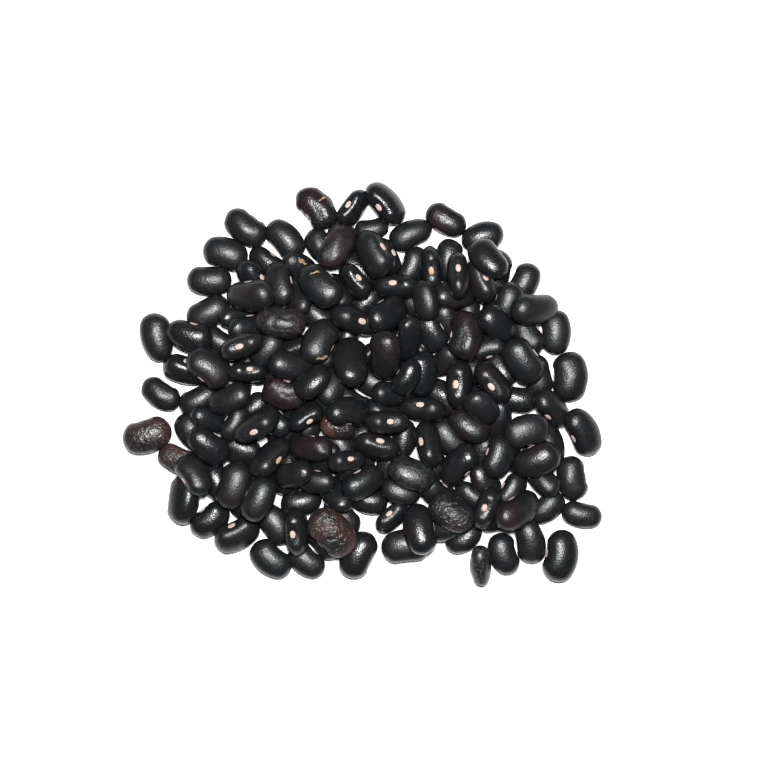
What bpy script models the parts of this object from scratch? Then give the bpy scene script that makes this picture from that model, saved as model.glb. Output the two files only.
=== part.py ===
"""A loose heap of dried black beans, lying on its flat underside, as one fused solid.

Units are metres with +Z up. The origin is under the middle of the heap, on the ground.
"""
import math
import random
from typing import NamedTuple

import bmesh
import bpy
import numpy as np
from mathutils import Vector
from mathutils.geometry import delaunay_2d_cdt

# Driving sizes, in millimetres and degrees
MM = 0.001
BEAN_LENGTH = (8.8, 11.8)
LONGEST_BEAN = 13.2
WIDTH_SHARE = (0.63, 0.71)
THICKNESS_SHARE = (0.48, 0.55)
ON_EDGE_SHARE = 0.42
CROWN_HEIGHT = 11.0
SEED = 7

# The height field that the beans settle on
CELL = 0.5
REACH = 16
FIELD_HALF_X = 76.0
FIELD_HALF_Y = 68.0
TILTS = range(-32, 33, 8)
LEANS = (-14, 0, 14)
NUDGE_CELLS = 3
NUDGE_COST = 0.3
NESTLE = 0.6
POUR_CELLS = 6
HIDDEN_SHARE = 0.5
SPOT_TRIES = 4000
FLOOR_DROPS = 160
GAP_DROPS = 80

# Facets of one bean, and what it takes to be worth a place in the solid
RIM_FACETS = (8, 5)
INNER_FACETS = (6, 4)
SEEN_SHARE = 0.35
FULLNESS = 1.04
EYE_HOLLOW = 0.12
GROUND_GAP = 0.06

# The core that the beans stand out of
CORE_SINK = 0.25
CORE_REACH = 17.0

# Outermost beans, clockwise from the top: x, y, heading, roll, length
RIM_BEANS = (
    (-11.6, 42.2, -50, 160, 11.8), (-3.0, 41.8, 55, 80, 10.4), (4.9, 43.2, -50, 115, 11.9),
    (2.0, 37.4, 10, 10, 8.4), (10.9, 36.2, 25, 180, 10.8), (18.4, 38.6, -30, 0, 10.5),
    (27.7, 35.8, 15, 180, 10.4), (31.3, 26.2, 82, 180, 12.0), (38.3, 24.0, 60, 0, 10.0),
    (46.0, 12.1, 90, 14, 10.8), (49.4, 1.4, 88, 0, 12.2), (42.6, 1.7, -80, 0, 10.1),
    (38.0, -2.6, -10, 0, 10.1), (45.0, -4.6, -45, 145, 10.4), (51.0, -10.8, -62, 172, 12.0),
    (45.0, -14.6, -78, 150, 10.5), (49.8, -22.6, -82, 0, 10.8), (52.2, -32.0, -12, 0, 9.8),
    (44.3, -30.2, 40, 0, 9.6), (47.2, -41.8, 80, 6, 12.7), (40.2, -38.2, -78, 172, 11.0),
    (34.2, -41.4, -72, 0, 10.3), (29.2, -42.6, -85, -60, 9.8), (24.8, -38.6, 36, 0, 9.6),
    (9.7, -39.4, 5, 180, 11.8), (6.6, -32.4, 42, 80, 9.8), (0.6, -28.6, -15, 0, 9.6),
    (-1.8, -41.5, 63, 180, 12.0), (-4.2, -30.7, -50, 0, 10.8), (-9.7, -38.2, -50, 165, 10.0),
    (-13.3, -42.2, -40, 0, 9.8), (-22.4, -42.2, -40, 0, 11.0), (-30.8, -36.8, 27, 52, 11.5),
    (-36.4, -33.8, 35, 30, 10.3), (-42.1, -29.2, 85, -50, 12.2), (-35.6, -24.5, -58, 0, 11.0),
    (-45.5, -19.6, -26, 0, 9.6), (-51.5, -13.4, 18, 0, 12.0), (-41.6, -12.2, -50, 0, 10.6),
    (-40.0, -4.6, 30, 0, 10.5), (-47.9, -2.9, -35, 0, 10.3), (-42.6, 1.4, -15, 62, 11.6),
    (-49.3, 9.8, -78, 0, 12.0), (-37.8, 16.8, 27, 0, 11.0), (-32.0, 17.5, 20, 0, 9.0),
    (-37.6, 23.5, 0, 0, 10.8), (-33.7, 30.2, -18, 180, 11.0), (-29.9, 36.7, -38, 0, 11.4),
    (-20.2, 34.6, -48, 180, 11.0), (-12.1, 33.8, -50, 0, 9.6))

# Beans that show in between, lower in the heap, in the same terms
LOW_BEANS = (
    (-23.9, 29.3, -40, 35, 9.8), (-16.7, 29.0, -35, 170, 9.6), (-29.0, 14.4, 10, 0, 10.0),
    (-27.5, 3.8, -50, 0, 10.3), (-27.0, -6.2, 40, 0, 9.0), (-30.0, -16.6, -20, 30, 10.5),
    (-15.5, -29.0, 10, 0, 10.0), (-21.7, -33.8, -55, 165, 10.5), (-18.1, -23.0, -85, 50, 11.4),
    (-6.1, -15.1, -60, 0, 9.5), (-4.0, -19.0, 20, 0, 10.0), (9.2, -13.9, 80, 0, 10.0),
    (3.5, -21.0, 70, 0, 9.6), (15.7, -21.2, 60, 0, 10.0), (20.5, -36.4, 20, 0, 10.0),
    (25.5, -27.8, -40, 30, 9.2), (35.4, -26.2, 60, 30, 10.0), (43.1, -23.2, -50, 0, 10.0),
    (20.0, -13.4, -50, 0, 10.6), (10.2, -1.0, 80, 0, 10.0), (26.0, -5.0, -80, 30, 9.2),
    (32.3, -7.4, 85, 0, 10.0), (32.5, 3.4, -60, 0, 10.0), (2.0, -0.2, -25, 0, 10.5),
    (-2.5, -4.3, -30, 0, 10.5), (-18.0, 8.0, 30, 110, 10.0), (-11.4, 15.8, -40, 0, 10.8),
    (13.3, 18.7, -20, 0, 10.6), (6.1, 15.8, 80, 40, 9.8), (39.0, 11.0, -62, 0, 11.4),
    (5.4, 31.2, -65, 60, 9.6), (11.6, 27.8, 65, 0, 10.2), (20.3, 29.3, -85, 0, 10.8),
    (25.0, 15.8, -80, 0, 9.4), (31.1, 15.4, 88, 30, 10.0), (-26.5, 26.2, -60, 60, 10.0),
    (-24.6, 9.2, 50, 0, 9.6), (-25.5, -21.4, 30, 0, 9.5), (-38.6, -8.5, -20, 0, 9.4),
    (8.2, 3.0, 60, 0, 9.4), (-5.8, 12.0, 80, 0, 9.2), (26.9, 4.8, -30, 0, 9.6),
    (34.2, 19.4, 70, 0, 9.4), (-29.3, -30.2, 20, 0, 9.6), (-18.2, -13.2, 60, 0, 9.4),
    (18.6, -25.4, -30, 0, 9.8), (-15.2, 20.6, -60, 0, 9.6), (-8.3, -20.4, 50, 0, 9.6),
    (7.0, -27.6, -20, 0, 9.6), (26.6, -15.4, 50, 0, 9.4), (-8.8, 2.4, 30, 0, 9.2),
    (20.6, 16.2, -60, 0, 9.2), (-6.6, -25.4, -50, 0, 9.4), (-32.6, -10.4, 60, 0, 9.4),
    (-21.4, -9.8, -40, 0, 9.2), (0.4, 18.4, 40, 0, 9.2), (-35.2, 11.2, -30, 0, 9.0),
    (28.2, -23.6, -60, 0, 9.4))

# Beans that stand out on top of the heap
TOP_BEANS = (
    (-42.1, 12.0, -20, 0, 11.5), (-37.1, 3.6, -36, 165, 11.6), (-30.6, 10.1, 20, 105, 11.0),
    (-32.3, -4.1, 23, 0, 10.6), (-25.3, -10.3, 28, 95, 11.8), (-36.0, -13.7, -38, 0, 11.2),
    (-22.7, -17.3, 48, 118, 11.2), (-40.2, -20.6, -55, 168, 10.8), (-31.3, -24.7, 72, 0, 11.5),
    (-25.1, -27.8, 65, 0, 11.2), (-16.9, -35.6, -84, 90, 11.7), (-7.3, -34.2, -48, 180, 13.4),
    (-11.2, -24.7, -10, 20, 9.2), (-2.0, -23.0, 30, 0, 10.8), (12.4, -33.6, -80, 0, 12.0),
    (20.5, -31.9, -35, 0, 11.8), (29.6, -30.5, 68, 60, 10.6), (34.9, -32.2, 32, 20, 11.5),
    (23.4, -20.6, 50, 160, 11.2), (31.1, -17.8, 68, 0, 10.8), (39.5, -19.2, 22, 0, 11.5),
    (38.5, -11.5, 15, 180, 11.2), (9.5, -23.3, -20, 0, 11.8), (13.8, -16.3, -80, 140, 10.8),
    (24.3, -11.5, -35, 0, 11.0), (2.8, -15.4, -15, 60, 11.4), (-12.6, -15.6, -8, 0, 10.4),
    (-14.8, -9.6, 33, 110, 9.4), (3.7, -8.0, 0, 100, 10.4), (-6.4, -9.6, -10, 0, 9.0),
    (14.8, -7.4, -5, 70, 11.0), (21.5, -0.5, 88, 88, 11.8), (30.0, -0.5, -50, 95, 11.5),
    (14.8, 1.0, 85, 0, 11.0), (-8.8, -2.2, 58, 172, 10.2), (-19.0, -3.4, -15, 0, 10.4),
    (-19.1, 2.9, -10, 0, 11.0), (29.2, 8.0, 15, 155, 9.8), (37.0, 6.5, -54, 0, 12.2),
    (39.0, 19.0, 5, 10, 11.6), (24.1, 10.6, 85, 0, 12.0), (17.2, 13.4, -60, 0, 9.8),
    (11.8, 11.0, 80, 35, 10.2), (6.4, 8.0, 88, 0, 11.2), (-2.5, 16.3, -18, 100, 12.2),
    (19.8, 19.2, 0, 0, 9.8), (26.0, 22.6, -68, 65, 11.0), (22.2, 23.8, -88, 90, 10.6),
    (17.2, 26.8, -85, 92, 10.6), (8.0, 23.3, 0, 90, 11.3), (-2.5, 24.0, -52, 80, 9.8),
    (0.4, 29.1, -62, 52, 12.0), (-6.1, 32.0, 62, 0, 12.0), (-9.2, 22.3, -42, 0, 12.0),
    (-19.1, 23.0, -78, 0, 10.8), (-25.8, 21.1, 0, 0, 11.6), (27.7, 27.6, -50, 0, 10.8),
    (-20.0, 14.2, -5, 0, 12.2), (-11.4, 8.4, 60, 165, 11.3), (-2.5, 6.3, -85, 0, 12.6))


class Bean(NamedTuple):
    """One bean where it came to rest: middle, unit axes, half sizes, and if it is at the rim."""
    centre: tuple
    axes: tuple
    half: tuple
    rim: bool


# Turning a bean

def turned_axes(heading, roll, pitch):
    """The bean's length, eye and face directions."""
    ch, sh, cr, sr, cp, sp = (
        round(turn(math.radians(angle)), 9)
        for angle in (heading, roll, pitch) for turn in (math.cos, math.sin))
    length = (ch * cp, sh * cp, sp)
    left = (-sh, ch, 0.0)
    up = (-ch * sp, -sh * sp, cp)
    eye = tuple(cr * a + sr * b for a, b in zip(left, up))
    face = (length[1] * eye[2] - length[2] * eye[1],
            length[2] * eye[0] - length[0] * eye[2],
            length[0] * eye[1] - length[1] * eye[0])
    return length, eye, face


def bean_heights(axes, half, off_x, off_y):
    """Lower and upper surface of a bean over the cells round it, and the cells it covers."""
    form = [[sum(a[i] * a[j] / (h * h) for a, h in zip(axes, half)) for j in range(3)]
            for i in range(3)]
    steps = np.arange(-REACH, REACH + 1) * CELL
    x = (steps - off_x)[None, :]
    y = (steps - off_y)[:, None]
    slope = form[0][2] * x + form[1][2] * y
    level = form[0][0] * x * x + 2 * form[0][1] * x * y + form[1][1] * y * y - 1.0
    inside = slope * slope - form[2][2] * level
    covered = inside >= 0
    root = np.sqrt(np.where(covered, inside, 0.0))
    low = np.where(covered, (-slope - root) / form[2][2], 1e6)
    high = np.where(covered, (-slope + root) / form[2][2], -1e6)
    return low, high, covered


# Pouring the heap

class Heap:
    """Beans dropped one by one on to a height field, each at its lowest nearby place."""

    def __init__(self, seed):
        self.draw = random.Random(seed)
        shape = (int(2 * FIELD_HALF_Y / CELL) + 1, int(2 * FIELD_HALF_X / CELL) + 1)
        self.ground = np.zeros(shape)
        self.owner = np.full(shape, -1)
        self.kept = np.zeros(shape, bool)
        self.beans = []
        self.footprint = []
        rim = sorted((math.atan2(row[1], row[0]), math.hypot(row[0], row[1])) for row in RIM_BEANS)
        self.rim_angle = [angle for angle, _ in rim]
        self.rim_radius = [radius for _, radius in rim]

    def share_out(self, x, y):
        """How far out a place is, 0 in the middle and 1 at the rim beans."""
        rim = np.interp(math.atan2(y, x), self.rim_angle, self.rim_radius, period=2 * math.pi)
        return round(math.hypot(x, y) / float(rim), 6)

    def half_sizes(self, length):
        """Half length, width and thickness of a bean of this length."""
        return (length / 2, length / 2 * self.draw.uniform(*WIDTH_SHARE),
                length / 2 * self.draw.uniform(*THICKNESS_SHARE))

    def settle(self, place, half, rim=False, cover=False, limit=None):
        """Try tilts and small shifts, and leave the bean at the lowest rest.

        It nestles in a little, as the others give way. A poured bean has a height limit, and
        rolls further to find its rest. Beans may be poured over one that is marked as cover.
        A placed bean's length is what shows from above, so a tilted one is longer.
        """
        x, y, heading, roll = place
        ix = round((x + FIELD_HALF_X) / CELL)
        iy = round((y + FIELD_HALF_Y) / CELL)
        off_x = x + FIELD_HALF_X - ix * CELL
        off_y = y + FIELD_HALF_Y - iy * CELL
        poured = limit is not None
        reach, step, cost = (POUR_CELLS, 2, 0.0) if poured else (NUDGE_CELLS, 1, NUDGE_COST)
        bed = np.maximum(self.ground - NESTLE, 0.0)
        best = None
        for pitch in TILTS:
            tilted = half[0] / math.cos(math.radians(pitch))
            most = half[0] if poured else max(half[0], LONGEST_BEAN / 2)
            sizes = (round(min(tilted, most), 9), half[1], half[2])
            for lean in LEANS:
                axes = turned_axes(heading, roll + lean, pitch)
                low, high, covered = bean_heights(axes, sizes, off_x, off_y)
                for jy in range(iy - reach, iy + reach + 1, step):
                    for jx in range(ix - reach, ix + reach + 1, step):
                        window = (slice(jy - REACH, jy + REACH + 1),
                                  slice(jx - REACH, jx + REACH + 1))
                        z = round(float((bed[window] - low).max()), 5)
                        move = math.hypot(jx - ix, jy - iy) * CELL
                        effort = round(z + cost * move + 0.0002 * (abs(pitch) + abs(lean)), 6)
                        if best is None or effort < best[0]:
                            best = (effort, z, window, jx, jy, axes, sizes, high, covered)
        _, z, window, jx, jy, axes, sizes, high, covered = best
        x = jx * CELL - FIELD_HALF_X + off_x
        y = jy * CELL - FIELD_HALF_Y + off_y
        hides = int((covered & self.kept[window]).sum())
        if poured and (z > limit(x, y) or hides > HIDDEN_SHARE * covered.sum()):
            return
        over = covered & (high + z > self.ground[window])
        self.ground[window] = np.where(over, high + z, self.ground[window])
        self.owner[window] = np.where(over, len(self.beans), self.owner[window])
        self.kept[window] = np.where(over, not (poured or cover), self.kept[window])
        self.footprint.append(int(covered.sum()))
        self.beans.append(Bean((x, y, z), axes, sizes, rim))

    def place(self, rows, rim=False, cover=False):
        """Set down the beans of a list, each at its own place."""
        for x, y, heading, roll, length in rows:
            self.settle((x, y, heading, roll), self.half_sizes(length), rim=rim, cover=cover)

    def bare_spot(self, spread):
        """A place inside the rim where nothing lies yet, as long as one is found."""
        for _ in range(SPOT_TRIES):
            x = self.draw.uniform(-56, 56)
            y = self.draw.uniform(-48, 48)
            ix = round((x + FIELD_HALF_X) / CELL)
            iy = round((y + FIELD_HALF_Y) / CELL)
            if self.ground[iy, ix] == 0 and self.share_out(x, y) < spread:
                break
        return x, y

    def pour(self, count, spread, edge_height, crown_height):
        """Drop beans on bare places, up to a limit that rises towards the middle."""
        def limit(x, y):
            return edge_height + (crown_height - edge_height) * max(0.0, 1 - self.share_out(x, y) ** 3)

        for _ in range(count):
            x, y = self.bare_spot(spread)
            if self.draw.random() < ON_EDGE_SHARE:
                roll = self.draw.uniform(25, 155)
            else:
                roll = self.draw.choice((0, 180)) + self.draw.uniform(-14, 14)
            heading = self.draw.uniform(-90, 90)
            half = self.half_sizes(self.draw.uniform(*BEAN_LENGTH))
            self.settle((x, y, heading, roll), half, limit=limit)

    def seen_shares(self):
        """The share of each bean's plan area that is on top."""
        return [int((self.owner == number).sum()) / cells
                for number, cells in enumerate(self.footprint)]


def pour_heap():
    """All beans in the order they were dropped, with the share of each that shows."""
    heap = Heap(SEED)
    heap.place(RIM_BEANS, rim=True)
    heap.place(LOW_BEANS, cover=True)
    heap.pour(FLOOR_DROPS, 0.93, 3.0, 4.2)
    heap.place(TOP_BEANS)
    heap.pour(GAP_DROPS, 0.85, 6.0, CROWN_HEIGHT)
    return heap.beans, heap.seen_shares()


# Bean solids

def bean_point(bean, along, across, outward):
    """A point of a bean from its unit coordinates, with the eye side hollowed a little."""
    if across > 0:
        across *= 1 - EYE_HOLLOW * math.exp(-(along / 0.42) ** 2)
    x, y, z = (
        centre + sum(axis[i] * size * share for axis, size, share in
                     zip(bean.axes, bean.half, (along, across, outward)))
        for i, centre in enumerate(bean.centre))
    return x * MM, y * MM, max(z, GROUND_GAP) * MM


def bean_object(bean, number):
    """One faceted bean: two ends, and rings of facets between them."""
    around, along = RIM_FACETS if bean.rim else INNER_FACETS
    points = [bean_point(bean, -1.0, 0.0, 0.0)]
    for ring in range(1, along):
        turn = math.pi * ring / along
        radius = math.sin(turn) * FULLNESS
        for side in range(around):
            angle = 2 * math.pi * (side + 0.5) / around
            points.append(bean_point(bean, -math.cos(turn), radius * math.cos(angle),
                                     radius * math.sin(angle)))
    points.append(bean_point(bean, 1.0, 0.0, 0.0))
    last = len(points) - 1
    faces = []
    for side in range(around):
        after = (side + 1) % around
        faces.append((0, 1 + after, 1 + side))
        faces.append((last, last - around + side, last - around + after))
        for ring in range(along - 2):
            near = 1 + ring * around
            far = near + around
            faces.append((near + side, near + after, far + after, far + side))
    mesh = bpy.data.meshes.new(f"bean_{number:03d}")
    mesh.from_pydata(points, [], faces)
    return bpy.data.objects.new(mesh.name, mesh)


# The core

def core_object(beans):
    """A low solid under the beans: a surface through their middles, down to the ground."""
    middles = [Vector(bean.centre[:2]) for bean in beans]
    tops = [bean.centre[2] - CORE_SINK * 2 * bean.half[2] for bean in beans]
    places, _, triangles, sources, _, _ = delaunay_2d_cdt(middles, [], [], 0, 1e-6)
    near = [tri for tri in triangles if all(
        (places[tri[i]] - places[tri[i - 1]]).length < CORE_REACH for i in range(3))]
    shape = bmesh.new()
    for place, source in zip(places, sources):
        shape.verts.new((place.x * MM, place.y * MM, tops[source[0]] * MM))
    shape.verts.ensure_lookup_table()
    for tri in near:
        shape.faces.new([shape.verts[i] for i in tri])
    lone = [vert for vert in shape.verts if not vert.link_faces]
    bmesh.ops.delete(shape, geom=lone, context="VERTS")
    rest = bmesh.ops.extrude_face_region(shape, geom=shape.faces[:], use_keep_orig=True)
    for vert in (item for item in rest["geom"] if isinstance(item, bmesh.types.BMVert)):
        vert.co.z = 0.0
    bmesh.ops.recalc_face_normals(shape, faces=shape.faces[:])
    mesh = bpy.data.meshes.new("bean_heap")
    shape.to_mesh(mesh)
    shape.free()
    return bpy.data.objects.new("bean_heap", mesh)


# Joining

def fuse(body, bean_collection):
    """One union of the core with every bean, after which the loose beans are removed."""
    union = body.modifiers.new("join_beans", "BOOLEAN")
    union.operation = "UNION"
    union.operand_type = "COLLECTION"
    union.collection = bean_collection
    union.solver = "EXACT"
    bpy.context.view_layer.objects.active = body
    bpy.ops.object.modifier_apply(modifier=union.name)
    for piece in list(bean_collection.objects):
        bpy.data.objects.remove(piece, do_unlink=True)
    bpy.data.collections.remove(bean_collection)


def keep_outer_skin(body):
    """Fill hollows that the union sealed: only the largest shell of faces stays."""
    shape = bmesh.new()
    shape.from_mesh(body.data)
    bmesh.ops.dissolve_degenerate(shape, dist=1e-6, edges=shape.edges[:])
    left = set(shape.faces)
    shells = []
    while left:
        front = [left.pop()]
        shell = []
        while front:
            face = front.pop()
            shell.append(face)
            for edge in face.edges:
                for other in edge.link_faces:
                    if other in left:
                        left.remove(other)
                        front.append(other)
        shells.append(shell)
    shells.sort(key=len)
    for shell in shells[:-1]:
        bmesh.ops.delete(shape, geom=shell, context="FACES")
    bmesh.ops.triangulate(shape, faces=shape.faces[:])
    shape.to_mesh(body.data)
    shape.free()


def black_skin():
    """The beans' satin black skin."""
    material = bpy.data.materials.new("bean_skin_black")
    material.use_nodes = True
    shader = material.node_tree.nodes["Principled BSDF"]
    shader.inputs["Base Color"].default_value = (0.013, 0.014, 0.015, 1.0)
    shader.inputs["Roughness"].default_value = 0.35
    material.diffuse_color = (0.013, 0.014, 0.015, 1.0)
    return material


def build():
    """Pour the heap, fuse what shows with its core, and set the origin under the middle."""
    for thing in list(bpy.data.objects):
        bpy.data.objects.remove(thing, do_unlink=True)
    beans, seen = pour_heap()
    shown = [bean for bean, share in zip(beans, seen) if share > SEEN_SHARE or bean.rim]
    parts = bpy.data.collections.new("dried_black_beans")
    bpy.context.scene.collection.children.link(parts)
    loose = bpy.data.collections.new("loose_beans")
    bpy.context.scene.collection.children.link(loose)
    body = core_object(shown)
    parts.objects.link(body)
    for number, bean in enumerate(shown):
        loose.objects.link(bean_object(bean, number))
    fuse(body, loose)
    keep_outer_skin(body)
    places = [vert.co for vert in body.data.vertices]
    middle = Vector(((min(p.x for p in places) + max(p.x for p in places)) / 2,
                     (min(p.y for p in places) + max(p.y for p in places)) / 2, 0.0))
    for vert in body.data.vertices:
        vert.co -= middle
    body.data.materials.append(black_skin())
    body.data.update()
    print("beans", len(beans), "shown", len(shown), "faces", len(body.data.polygons),
          "size", [round(side * 1000, 2) for side in body.dimensions], "middle", middle)


build()
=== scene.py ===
"""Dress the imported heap: a loose pile of dried black beans on a white table, seen from above.

Lengths of beans and places in the heap are in millimetres, everything in the scene in metres.
The origin is on the table under the middle of the heap, +Y is the top of the picture.
"""
import logging
import math
import random
from collections.abc import Callable
from dataclasses import dataclass, field, replace
from enum import Enum

import bpy
import numpy as np
from mathutils import Matrix, Vector

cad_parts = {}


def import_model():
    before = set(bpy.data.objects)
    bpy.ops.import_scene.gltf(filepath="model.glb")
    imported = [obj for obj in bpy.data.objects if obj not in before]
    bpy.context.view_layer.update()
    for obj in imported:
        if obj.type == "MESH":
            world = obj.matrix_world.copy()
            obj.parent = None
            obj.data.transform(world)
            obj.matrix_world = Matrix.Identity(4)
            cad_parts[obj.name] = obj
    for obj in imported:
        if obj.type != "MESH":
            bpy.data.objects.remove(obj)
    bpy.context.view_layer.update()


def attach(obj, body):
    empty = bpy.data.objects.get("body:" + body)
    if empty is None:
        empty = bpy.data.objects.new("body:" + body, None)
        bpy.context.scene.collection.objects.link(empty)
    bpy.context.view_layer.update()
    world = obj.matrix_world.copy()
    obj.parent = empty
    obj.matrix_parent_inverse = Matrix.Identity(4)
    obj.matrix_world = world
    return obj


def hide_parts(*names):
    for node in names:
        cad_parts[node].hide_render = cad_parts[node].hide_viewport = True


log = logging.getLogger("black_beans")

MM = 0.001
Triple = tuple[float, float, float]
Colour = tuple[float, float, float, float]
Span = tuple[float, float]
Limit = Callable[[float, float], float]
Source = bpy.types.NodeSocket | Colour | float


class Skin(Enum):
    """How a bean's seed coat looks. The value is the name of the scene's piece."""

    BLACK = "smooth_beans"
    PURPLE = "creased_beans"
    BROWN = "wrinkled_beans"


class Form(Enum):
    """The body forms that beans are copied from."""

    PLUMP = "plump"
    KIDNEY = "kidney"
    EGG = "egg"
    LONG = "long"
    DENTED = "dented"
    FOLDED = "folded"
    CREASED = "creased"
    WRINKLED = "wrinkled"
    SHRUNKEN = "shrunken"


FORMS_OF_SKIN: dict[Skin, tuple[Form, ...]] = {
    Skin.BLACK: (Form.PLUMP, Form.KIDNEY, Form.EGG, Form.LONG, Form.PLUMP, Form.DENTED),
    Skin.PURPLE: (Form.DENTED, Form.FOLDED, Form.PLUMP, Form.KIDNEY),
    Skin.BROWN: (Form.WRINKLED, Form.SHRUNKEN),
}


@dataclass(frozen=True)
class Spot:
    """Where one bean is laid, and what is special about it.

    Place and length are in millimetres, heading and roll in degrees. A roll of 0 has the eye
    at the left of the heading, 90 on top and 180 at the right. What isn't given is drawn.
    """

    x: float
    y: float
    heading: float
    roll: float
    length: float
    skin: Skin = Skin.BLACK
    form: Form | None = None
    warmth: float | None = None
    speckle: float | None = None


@dataclass(frozen=True)
class Bean:
    """One bean at rest: middle, unit axes along length, eye and face, half sizes, and its spot."""

    centre: Triple
    axes: tuple[Triple, Triple, Triple]
    half: Triple
    spot: Spot


@dataclass(frozen=True)
class Pour:
    """Beans dropped on bare places.

    The spread is how far out they fall, as a share of the rim. The heights are the limits, in
    millimetres, for a bean's middle at the rim and in the middle of the heap.
    """

    count: int
    spread: float
    edge_height: float
    crown_height: float


@dataclass(frozen=True)
class Tear:
    """A place where a coat has split and the pale inside shows.

    Place, length and width are in millimetres, the heading in degrees.
    """

    x: float
    y: float
    heading: float
    length: float
    width: float
    skin: Skin
    ochre: float


FLOOR_POUR = Pour(count=160, spread=0.93, edge_height=3.0, crown_height=4.2)
GAP_POUR = Pour(count=80, spread=0.85, edge_height=6.0, crown_height=11.0)

TEARS = (
    Tear(-10.3, 44.0, 30, 2.6, 0.42, Skin.PURPLE, 0.0),
    Tear(-15.0, 28.9, -35, 2.6, 1.25, Skin.BLACK, 0.3),
    Tear(-11.9, 25.9, 14, 2.4, 0.28, Skin.BLACK, 1.0),
    Tear(-10.3, 5.7, 12, 2.6, 0.7, Skin.BLACK, 0.7),
)

RIM_BEANS = (
    Spot(-11.6, 42.2, -50, 160, 11.8, Skin.PURPLE, Form.FOLDED, warmth=0.3, speckle=0.2),
    Spot(-3.0, 41.8, 55, 80, 10.4), Spot(4.9, 43.2, -50, 115, 11.9), Spot(2.0, 37.4, 10, 10, 8.4),
    Spot(10.9, 36.2, 25, 180, 10.8), Spot(18.4, 38.6, -30, 0, 10.5, Skin.PURPLE),
    Spot(27.7, 35.8, 15, 180, 10.4), Spot(31.3, 26.2, 82, 180, 12.0, Skin.PURPLE),
    Spot(38.3, 24.0, 60, 0, 10.0), Spot(46.0, 12.1, 90, 14, 10.8),
    Spot(49.4, 1.4, 88, 0, 12.2, Skin.PURPLE, Form.DENTED, warmth=0.25),
    Spot(42.6, 1.7, -80, 0, 10.1), Spot(38.0, -2.6, -10, 0, 10.1), Spot(45.0, -4.6, -45, 145, 10.4),
    Spot(51.0, -10.8, -62, 172, 12.0), Spot(45.0, -14.6, -78, 150, 10.5),
    Spot(49.8, -22.6, -82, 0, 10.8), Spot(52.2, -32.0, -12, 0, 9.8), Spot(44.3, -30.2, 40, 0, 9.6),
    Spot(47.2, -41.8, 80, 6, 12.7, Skin.BLACK, Form.KIDNEY), Spot(40.2, -38.2, -78, 172, 11.0),
    Spot(34.2, -41.4, -72, 0, 10.3),
    Spot(29.2, -42.6, -85, -60, 9.8, Skin.BLACK, Form.DENTED, warmth=0.2, speckle=0.8),
    Spot(24.8, -38.6, 36, 0, 9.6), Spot(9.7, -39.4, 5, 180, 11.8), Spot(6.6, -32.4, 42, 80, 9.8),
    Spot(0.6, -28.6, -15, 0, 9.6), Spot(-1.8, -41.5, 63, 180, 12.0),
    Spot(-4.2, -30.7, -50, 0, 10.8), Spot(-9.7, -38.2, -50, 165, 10.0),
    Spot(-13.3, -42.2, -40, 0, 9.8), Spot(-22.4, -42.2, -40, 0, 11.0),
    Spot(-30.8, -36.8, 27, 52, 11.5), Spot(-36.4, -33.8, 35, 30, 10.3),
    Spot(-42.1, -29.2, 85, -50, 12.2), Spot(-35.6, -24.5, -58, 0, 11.0),
    Spot(-45.5, -19.6, -26, 0, 9.6, Skin.BROWN, Form.SHRUNKEN, warmth=-0.12),
    Spot(-51.5, -13.4, 18, 0, 12.0, Skin.BROWN, Form.PLUMP, warmth=-0.45, speckle=0.45),
    Spot(-41.6, -12.2, -50, 0, 10.6), Spot(-40.0, -4.6, 30, 0, 10.5),
    Spot(-47.9, -2.9, -35, 0, 10.3), Spot(-42.6, 1.4, -15, 62, 11.6),
    Spot(-49.3, 9.8, -78, 0, 12.0), Spot(-37.8, 16.8, 27, 0, 11.0), Spot(-32.0, 17.5, 20, 0, 9.0),
    Spot(-37.6, 23.5, 0, 0, 10.8), Spot(-33.7, 30.2, -18, 180, 11.0),
    Spot(-29.9, 36.7, -38, 0, 11.4), Spot(-20.2, 34.6, -48, 180, 11.0),
    Spot(-12.1, 33.8, -50, 0, 9.6),
)

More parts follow.
